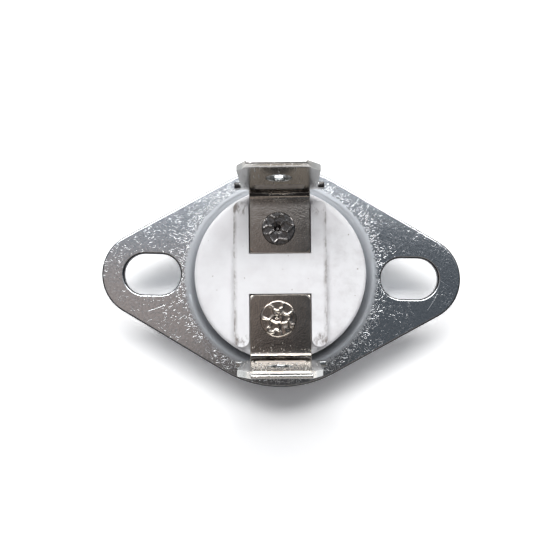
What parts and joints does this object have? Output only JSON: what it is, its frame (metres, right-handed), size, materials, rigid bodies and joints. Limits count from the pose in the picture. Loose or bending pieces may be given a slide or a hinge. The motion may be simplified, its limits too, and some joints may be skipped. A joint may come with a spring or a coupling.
{
  "type": "bimetal snap-disc temperature switch",
  "caption": "Ceramic snap-disc temperature switch with an aluminium sensing cap, a slotted rhombic mounting flange and upright quick-connect tabs.",
  "frame": {"origin": "centre of the flat sensing face, on which the part rests", "axes": "+Z from the sensing face towards the tab tips, +X along the line through the two slots"},
  "size_m": [0.0336, 0.0206, 0.0188],
  "materials": {
    "plated_flange": "bright zinc plate, finely scratched",
    "aluminium_cap": "drawn, satin",
    "white_ceramic": "pressed and fired, unglazed",
    "bimetal": "rolled",
    "spring_copper": "rolled",
    "silver_contact": "satin",
    "nickel_terminal": "satin nickel plate",
    "dark_rivet": "hammered, dark",
    "bright_rivet": "hammered, bright"
  },
  "bodies": {
    "housing": {"mounting_flange": "plated_flange", "sensing_cap": "aluminium_cap", "ceramic_body": "white_ceramic", "pin_guide": "white_ceramic", "bimetal_disc": "bimetal", "fixed_strip": "spring_copper", "fixed_contact": "silver_contact", "terminal_back": "nickel_terminal", "terminal_front": "nickel_terminal", "rivet_back": "dark_rivet", "rivet_front": "bright_rivet"},
    "pin": {"push_pin": "white_ceramic"},
    "arm": {"contact_arm": "spring_copper", "moving_contact": "silver_contact"}
  },
  "joints": [
    {"name": "pin_lift", "type": "slide", "parent": "housing", "child": "pin", "axis": [0, 0, 1], "range_m": [0, 0.0003], "deforming": ["bimetal_disc"]},
    {"name": "arm_flex", "type": "hinge", "parent": "housing", "child": "arm", "pos_m": [-0.00007, 0.00259, 0.00651], "axis": [-0.9997, -0.0262, 0], "range_deg": [0, 6.7], "stiffness_Nm_per_rad": 0.01, "springref_deg": -5.73, "deforming": ["contact_arm"]}
  ],
  "couplings": [
    {"joint": "arm_flex", "follows": "pin_lift", "rad_per_m": 386.1}
  ]
}
